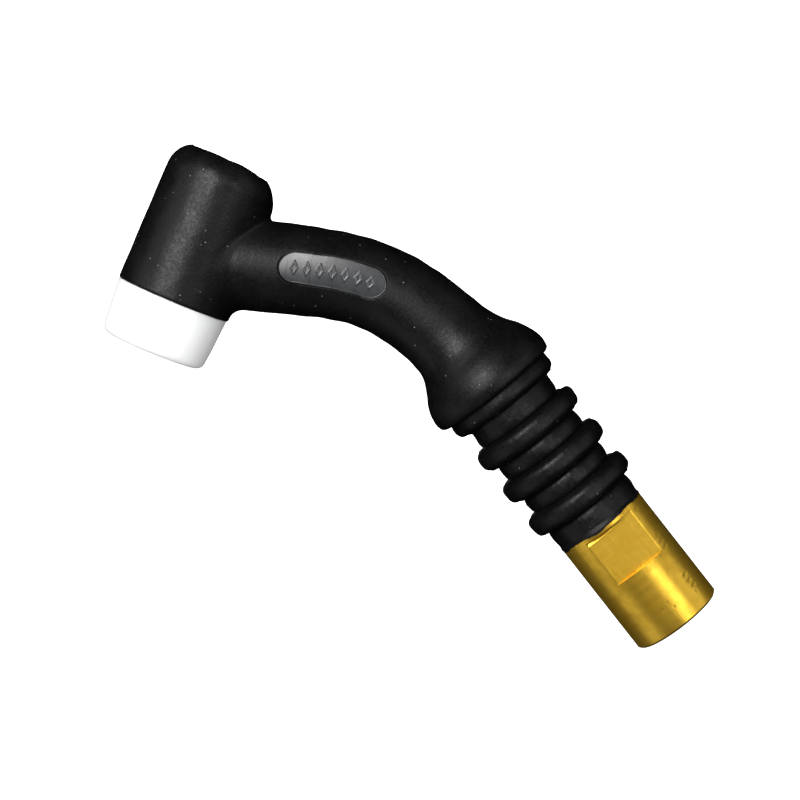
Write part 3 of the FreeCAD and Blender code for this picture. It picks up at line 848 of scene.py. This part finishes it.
def on_core(along, radius, angle):
    """Points of the head's core, with its two threads."""
    collet = thread_cut(along, angle, COLLET_START + 0.5, CORE_NOSE - 0.2, COLLET_THREAD, 0.6)
    cap = thread_cut(along, angle, CORE_TOP + 0.2, CAP_END - 0.5, CAP_THREAD, 0.6)
    radius = radius + np.where(on_wall(radius, COLLET_BORE_R), collet, 0)
    radius = radius + np.where(on_wall(radius, CAP_BORE_R), cap, 0)
    return on_head_axis(along, radius, angle)


def make_core():
    outline = [(CORE_TOP, CAP_BORE_R + 0.7), (CORE_TOP, CORE_R - 0.25), (CORE_TOP + 0.25, CORE_R),
               (CORE_NOSE - 0.3, CORE_R), (CORE_NOSE, CORE_R - 0.3),
               (CORE_NOSE, COLLET_BORE_R + 0.6), (CORE_NOSE - 0.5, COLLET_BORE_R + 0.1)]
    outline += [(s, COLLET_BORE_R) for s in rows(CORE_NOSE - 0.6, COLLET_START, 0.075)]
    outline += [(COLLET_START, COLLET_BORE_R), (COLLET_START, CHAMBER_R), (CAP_END, CHAMBER_R)]
    outline += [(s, CAP_BORE_R) for s in rows(CAP_END, CORE_TOP + 0.7, 0.085)]
    outline += [(CORE_TOP + 0.6, CAP_BORE_R + 0.1)]
    core = lathe("core_brass", np.array(outline), around(96), on_core, BRASS_SHARP)
    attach(core, "head")
    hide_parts("head_core")
    return core


# ---------------------------------------------------------------- front insulator

# Radius at each corner of its outline, from the head's seam forwards and back through the hole.
INSULATOR_ROUNDS = (0, 0.25, 9.0, 1.9, 0.3, 0.3, 0.3, 0, 0)
ROUND_SEGMENTS = 8


def make_insulator():
    seat = INSULATOR_FRONT - NOZZLE_SEAT_DEPTH
    rear, nose = HEAD_SEAM + 0.04, CORE_NOSE + 0.03
    core_r = CORE_R + 0.03
    rear_r, front_r = INSULATOR_RADII
    corners = [(rear, core_r), (rear, rear_r), (INSULATOR_FRONT - 5, front_r + 0.55),
               (INSULATOR_FRONT, front_r), (INSULATOR_FRONT, NOZZLE_SEAT_R),
               (seat, NOZZLE_SEAT_R), (seat, INSULATOR_HOLE_R), (nose, INSULATOR_HOLE_R),
               (nose, core_r)]
    outline = subdivided(rounded(corners, INSULATOR_ROUNDS, ROUND_SEGMENTS), 0.5)
    insulator = lathe("insulator_ptfe", outline, around(144), on_head_axis, PTFE_SHARP)
    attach(insulator, "head")
    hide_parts("front_insulator")
    return insulator


# ---------------------------------------------------------------- materials


class Shader:
    """A material's node tree, with short ways to add and join nodes."""

    def __init__(self, name):
        self.material = bpy.data.materials.new(name)
        self.material.use_nodes = True
        self.tree = self.material.node_tree
        self.shader = self.tree.nodes["Principled BSDF"]
        self.place = self.add("ShaderNodeTexCoord").outputs["Object"]

    def add(self, kind, **values):
        node = self.tree.nodes.new(kind)
        for key, item in values.items():
            setattr(node, key, item)
        return node

    def join(self, source, target):
        self.tree.links.new(source, target)

    def set(self, name, value):
        """Gives a socket of the shader a value, or joins it to a node's output."""
        if isinstance(value, bpy.types.NodeSocket):
            self.join(value, self.shader.inputs[name])
        else:
            self.shader.inputs[name].default_value = value

    def stretched(self, scale, turn=(0, 0, 0)):
        """Place on the piece, turned and stretched, for marks that run one way."""
        node = self.add("ShaderNodeMapping")
        node.inputs["Scale"].default_value = scale
        node.inputs["Rotation"].default_value = turn
        self.join(self.place, node.inputs["Vector"])
        return node.outputs["Vector"]

    def noise(self, scale, detail=3.0, rough=0.5, place=None, twist=0.0):
        """Uneven value from 0 to 1. scale is about the number of its lumps in a metre."""
        node = self.add("ShaderNodeTexNoise")
        for name, item in (("Scale", scale), ("Detail", detail), ("Roughness", rough),
                           ("Distortion", twist)):
            node.inputs[name].default_value = item
        self.join(place or self.place, node.inputs["Vector"])
        return node.outputs["Fac"]

    def cells(self, scale):
        """Distance from the nearest of scattered points, in cells."""
        node = self.add("ShaderNodeTexVoronoi", feature="F1")
        node.inputs["Scale"].default_value = scale
        self.join(self.place, node.inputs["Vector"])
        return node.outputs["Distance"]

    def span(self, source, low, high, to_low=0.0, to_high=1.0):
        """Source from low to high, as from to_low to to_high."""
        node = self.add("ShaderNodeMapRange", interpolation_type="SMOOTHSTEP")
        self.join(source, node.inputs["Value"])
        for name, item in (("From Min", low), ("From Max", high), ("To Min", to_low),
                           ("To Max", to_high)):
            node.inputs[name].default_value = item
        return node.outputs["Result"]

    def math(self, operation, first, second):
        node = self.add("ShaderNodeMath", operation=operation)
        for slot, item in enumerate((first, second)):
            if isinstance(item, bpy.types.NodeSocket):
                self.join(item, node.inputs[slot])
            else:
                node.inputs[slot].default_value = item
        return node.outputs[0]

    def mix(self, share, first, second):
        """Colour from first to second."""
        node = self.add("ShaderNodeMix", data_type="RGBA")
        self.join(share, node.inputs["Factor"])
        for name, item in (("A", first), ("B", second)):
            socket = next(i for i in node.inputs if i.name == name and i.type == "RGBA")
            if isinstance(item, bpy.types.NodeSocket):
                self.join(item, socket)
            else:
                socket.default_value = (*item, 1.0)
        return next(i for i in node.outputs if i.type == "RGBA")

    def bump(self, height, strength, distance, below=None):
        """Surface direction with the height's relief, on top of the relief below it."""
        node = self.add("ShaderNodeBump")
        node.inputs["Strength"].default_value = strength
        node.inputs["Distance"].default_value = distance
        self.join(height, node.inputs["Height"])
        if below:
            self.join(below, node.inputs["Normal"])
        return node.outputs["Normal"]


def rubber_material():
    look = Shader("black_rubber")
    cloud = look.noise(160, 4, 0.6)
    fine = look.noise(2600, 2, 0.6)
    grain = look.noise(1300, 3, 0.65)
    speck = look.cells(420)
    dust = look.span(speck, 0.0, 0.085, 1.0, 0.0)
    dusty = look.math("MULTIPLY", dust, look.span(look.noise(90, 2), 0.46, 0.54))
    black, grey = (0.0020, 0.0020, 0.0022), (0.0034, 0.0034, 0.0036)
    tone = look.mix(look.span(cloud, 0.3, 0.7), black, grey)
    look.set("Base Color", look.mix(look.math("MULTIPLY", dusty, 0.85), tone, (0.30, 0.30, 0.29)))
    rough = look.math("ADD", look.span(grain, 0.3, 0.7, 0.36, 0.5),
                      look.span(cloud, 0.3, 0.7, -0.03, 0.04))
    look.set("Roughness", rough)
    look.set("Specular IOR Level", 0.24)
    normal = look.bump(grain, 0.9, 0.00006)
    normal = look.bump(fine, 0.4, 0.00003, normal)
    look.set("Normal", look.bump(look.noise(330, 2), 0.4, 0.00012, normal))
    return look.material


def badge_material():
    look = Shader("polished_rubber")
    streak = look.noise(500, 3, 0.6, look.stretched((1.0, 6.0, 1.0), (0, 0, math.radians(43))))
    look.set("Base Color", look.mix(streak, (0.02, 0.021, 0.023), (0.04, 0.041, 0.043)))
    look.set("Roughness", look.span(look.noise(230, 4, 0.6), 0.3, 0.7, 0.24, 0.36))
    look.set("Specular IOR Level", 0.6)
    look.set("Normal", look.bump(look.noise(420, 3, 0.55), 0.25, 0.00004))
    return look.material


def brass_material():
    look = Shader("turned_brass")
    rings = look.noise(900, 3, 0.6, look.stretched((1.0, 0.02, 0.02)))
    stain = look.noise(120, 5, 0.65)
    scratch = look.noise(700, 2, 0.5, look.stretched((0.12, 1.0, 1.0), (0, 0, 0.5)), 0.4)
    dings = look.span(look.cells(330), 0.0, 0.2, 1.0, 0.0)
    dings = look.math("MULTIPLY", dings, look.span(look.noise(150, 2), 0.46, 0.56))
    warm = look.mix(look.span(stain, 0.35, 0.7), (0.76, 0.47, 0.045), (0.56, 0.33, 0.025))
    look.set("Base Color", look.mix(look.math("MULTIPLY", dings, 0.6), warm, (0.36, 0.21, 0.03)))
    look.set("Metallic", 0.88)
    rough = look.math("ADD", look.span(rings, 0.3, 0.7, 0.30, 0.34),
                      look.span(stain, 0.3, 0.8, 0.0, 0.14))
    look.set("Roughness", rough)
    normal = look.bump(rings, 0.12, 0.00001)
    normal = look.bump(look.span(scratch, 0.47, 0.5), 0.2, 0.00003, normal)
    look.set("Normal", look.bump(dings, 0.5, -0.00008, normal))
    return look.material


def ptfe_material():
    look = Shader("white_ptfe")
    cloud = look.noise(220, 4, 0.6)
    mottle = look.noise(60, 3, 0.5)
    white = look.mix(look.span(mottle, 0.35, 0.7), (0.84, 0.845, 0.845), (0.79, 0.795, 0.78))
    look.set("Base Color", white)
    look.set("Roughness", look.span(cloud, 0.3, 0.7, 0.32, 0.44))
    look.set("Specular IOR Level", 0.35)
    look.set("Subsurface Weight", 0.6)
    look.set("Subsurface Radius", (1.0, 0.95, 0.9))
    look.set("Subsurface Scale", 0.004)
    turned = look.noise(1400, 2, 0.5)
    look.set("Normal", look.bump(turned, 0.12, 0.00003))
    return look.material


def copper_material():
    look = Shader("annealed_copper")
    stain = look.noise(180, 4, 0.6)
    look.set("Base Color", look.mix(stain, (0.72, 0.33, 0.17), (0.46, 0.18, 0.10)))
    look.set("Metallic", 1.0)
    look.set("Roughness", look.span(stain, 0.3, 0.7, 0.28, 0.46))
    look.set("Normal", look.bump(look.noise(900, 2), 0.15, 0.00003))
    return look.material


def solder_material():
    look = Shader("silver_solder")
    lump = look.noise(400, 3, 0.55)
    look.set("Base Color", look.mix(lump, (0.74, 0.68, 0.52), (0.58, 0.52, 0.40)))
    look.set("Metallic", 1.0)
    look.set("Roughness", look.span(lump, 0.3, 0.7, 0.25, 0.42))
    look.set("Normal", look.bump(lump, 0.4, 0.0001))
    return look.material


def floor_material():
    look = Shader("studio_floor")
    paper = look.noise(35, 3, 0.5)
    look.set("Base Color", look.mix(paper, (0.88, 0.88, 0.88), (0.90, 0.90, 0.90)))
    look.set("Roughness", 0.8)
    look.set("Specular IOR Level", 0.1)
    look.set("Emission Color", (1.0, 1.0, 1.0, 1.0))
    look.set("Emission Strength", 1.0)
    return look.material


def paint(made, material):
    """Gives an object one material."""
    made.data.materials.clear()
    made.data.materials.append(material)


# The neck's line is looked at this far beyond the badge, at every COARSE-th fine step.
BADGE_SEARCH = 3.0
COARSE = 20
BADGE_LOWEST = 7.0


def paint_badge(piece, rubber, polished):
    """Gives the badge's floor its polished finish."""
    mesh = piece.data
    paint(piece, rubber)
    mesh.materials.append(polished)
    centres = np.zeros(len(mesh.polygons) * 3)
    mesh.polygons.foreach_get("center", centres)
    centres = centres.reshape(-1, 3) / MM
    reach = BADGE_HALF + BADGE_SEARCH
    fine = np.arange(BADGE_AT - reach, BADGE_AT + reach, FINE_STEP)
    line, forward, outside = neck_path(fine)
    apart = centres[:, None, :2] - line[None, ::COARSE, :2]
    nearest = np.argmin(np.sum(apart**2, -1), axis=1) * COARSE
    off_line = centres - line[nearest]
    ahead = fine[nearest] + np.sum(off_line * forward[nearest], -1) - BADGE_AT
    across = np.sum(off_line * outside[nearest], -1) - BADGE_RISE
    on_floor = badge_distance(ahead, across) < -BADGE_WALL / 2
    polished_faces = on_floor & (centres[:, 2] > BADGE_LOWEST)
    mesh.polygons.foreach_set("material_index", polished_faces.astype(np.int32))


# ---------------------------------------------------------------- stage, metres

FLOOR_SIZE = 12.0
FLOOR_DEPTH = 0.085
FLOOR_CELLS = 8

# Share of the white surroundings' light that reaches matt surfaces.
TABLE_BOUNCE = 0.4

# Where the lights point.
MIDDLE = (-0.085, -0.02, 0.0)

# Name, place, size and power of each soft light.
LIGHTS = (
    ("main_soft", (-0.40, -0.08, 0.61), (0.42, 0.34), 5.9),
    ("right_soft", (0.14, 0.32, 0.57), (0.30, 0.30), 1.2),
    ("left_low", (-0.66, -0.33, 0.25), (0.30, 0.30), 0.5),
    ("right_low", (0.09, 0.61, 0.24), (0.30, 0.30), 0.3),
    ("foot_low", (0.06, -0.64, 0.29), (0.30, 0.30), 0.25),
    ("front_fill", (-0.12, -0.80, 0.08), (0.60, 0.16), 0.35),
    ("back_fill", (-0.02, 0.80, 0.08), (0.60, 0.16), 0.25),
)

CAMERA_AT = (-0.0974, 0.0, 0.4843)
CAMERA_AIM = (-0.07905, -0.01899, 0.0)
CAMERA_UP = (-0.7856, 0.6163, -0.0539)
LENS, SENSOR_WIDTH = 95.4, 36


def make_floor():
    bpy.ops.mesh.primitive_grid_add(x_subdivisions=FLOOR_CELLS, y_subdivisions=FLOOR_CELLS,
                                    size=FLOOR_SIZE)
    floor = bpy.context.object
    floor.name = "floor"
    # The floor is low, so that the head stays above it when the neck swings down.
    floor.location = (-0.08, -0.02, -FLOOR_DEPTH)
    floor.visible_glossy = False
    floor.visible_diffuse = False
    paint(floor, floor_material())


def area_light(name, place, size, power):
    data = bpy.data.lights.new(name, "AREA")
    data.shape = "RECTANGLE"
    data.size, data.size_y = size
    data.energy = power
    lamp = bpy.data.objects.new(name, data)
    lamp.location = place
    toward = Vector(MIDDLE) - Vector(place)
    lamp.rotation_euler = toward.to_track_quat("-Z", "Y").to_euler()
    bpy.context.scene.collection.objects.link(lamp)


def make_surroundings():
    """White surroundings, dimmed for matt surfaces and unseen by glossy ones."""
    world = bpy.data.worlds.new("studio")
    bpy.context.scene.world = world
    world.use_nodes = True
    back = world.node_tree.nodes["Background"]
    back.inputs["Color"].default_value = (1, 1, 1, 1)
    rays = world.node_tree.nodes.new("ShaderNodeLightPath")
    share = world.node_tree.nodes.new("ShaderNodeMath")
    share.operation = "MULTIPLY_ADD"
    share.inputs[1].default_value = TABLE_BOUNCE - 1
    share.inputs[2].default_value = 1.0
    world.node_tree.links.new(rays.outputs["Is Diffuse Ray"], share.inputs[0])
    world.node_tree.links.new(share.outputs[0], back.inputs["Strength"])
    world.cycles_visibility.glossy = False
    world.cycles_visibility.transmission = False


def make_camera():
    data = bpy.data.cameras.new("camera")
    data.sensor_width = SENSOR_WIDTH
    data.lens = LENS
    data.clip_start = 0.01
    camera = bpy.data.objects.new("camera", data)
    place = Vector(CAMERA_AT)
    back = (place - Vector(CAMERA_AIM)).normalized()
    right = Vector(CAMERA_UP).cross(back).normalized()
    turn = Matrix((right, back.cross(right), back)).transposed()
    camera.matrix_world = Matrix.Translation(place) @ turn.to_4x4()
    bpy.context.scene.collection.objects.link(camera)
    bpy.context.scene.camera = camera


# ---------------------------------------------------------------- assembly

rubber = rubber_material()
polished = badge_material()
brass = brass_material()
copper = copper_material()
solder = solder_material()

paint(make_skirt(), rubber)
for piece in make_neck():
    paint_badge(piece, rubber, polished)
paint(make_sleeve(), rubber)
paint(make_head(), rubber)
paint(make_nipple(), brass)
paint(make_core(), brass)
paint(make_insulator(), ptfe_material())
for name, node in frame["nodes"].items():
    if name.startswith("gas_tube"):
        paint(node, copper)
    elif name.endswith("braze_ring"):
        paint(node, solder)

make_floor()
for light in LIGHTS:
    area_light(*light)
make_surroundings()
make_camera()
bpy.context.scene.view_settings.view_transform = "Standard"
